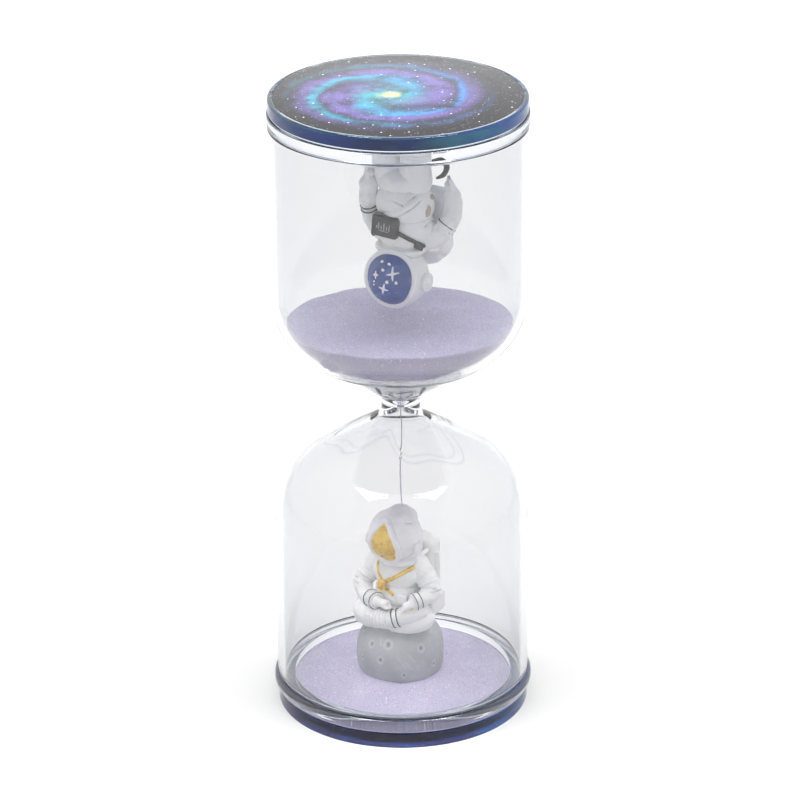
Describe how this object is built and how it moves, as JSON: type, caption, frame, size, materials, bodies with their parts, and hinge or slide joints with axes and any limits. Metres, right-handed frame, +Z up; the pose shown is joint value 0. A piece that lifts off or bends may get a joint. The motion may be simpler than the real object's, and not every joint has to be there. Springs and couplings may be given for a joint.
{
  "type": "hourglass",
  "caption": "Free-standing hourglass: a waisted glass body closed by printed clear discs, with lilac sand, a seated astronaut on a moon below and an astronaut hanging from the lid.",
  "frame": {"origin": "centre of the base, where the lower disc rests", "axes": "+Z up through the neck to the lid; -Y is the side that the figures face"},
  "size_m": [0.0822, 0.0822, 0.2024],
  "materials": {
    "clear_glass": "clear, fire polished",
    "disc_acrylic": "clear, lit blue by the print",
    "galaxy_print": "printed film under a gloss coat",
    "collar_acrylic": "clear, polished",
    "clear_adhesive": "clear",
    "lilac_sand": "fine grains with a few bright ones",
    "moon_resin": "matt painted resin",
    "suit_white": "satin painted resin",
    "gold_paint": "gold paint",
    "blue_paint": "gloss paint with white dots",
    "charcoal_paint": "satin paint",
    "sole_grey": "satin paint"
  },
  "bodies": {
    "root": {"blue_visor": "blue_paint", "body_strap": "charcoal_paint", "chest_pack": "charcoal_paint", "falling_sand": "lilac_sand", "glass_body": "clear_glass", "gold_buckle": "gold_paint", "gold_harness": "gold_paint", "gold_visor": "gold_paint", "hanging_backpack": "suit_white", "hanging_left_arm": "suit_white", "hanging_left_leg": "suit_white", "hanging_right_arm": "suit_white", "hanging_right_leg": "suit_white", "hanging_soles": "sole_grey", "hanging_torso": "suit_white", "helmet": "suit_white", "helmet_caps": "suit_white", "hood": "suit_white", "hood_caps": "suit_white", "lower_collar_ring": "collar_acrylic", "lower_disc": "disc_acrylic", "lower_disc_bond": "clear_adhesive", "lower_galaxy_print": "galaxy_print", "lower_sand": "lilac_sand", "lower_tube_bond": "clear_adhesive", "moon_base": "moon_resin", "seated_backpack": "suit_white", "seated_left_arm": "suit_white", "seated_left_leg": "suit_white", "seated_right_arm": "suit_white", "seated_right_leg": "suit_white", "seated_torso": "suit_white", "upper_collar_ring": "collar_acrylic", "upper_disc": "disc_acrylic", "upper_disc_bond": "clear_adhesive", "upper_galaxy_print": "galaxy_print", "upper_sand": "lilac_sand", "upper_tube_bond": "clear_adhesive"}
  },
  "joints": []
}
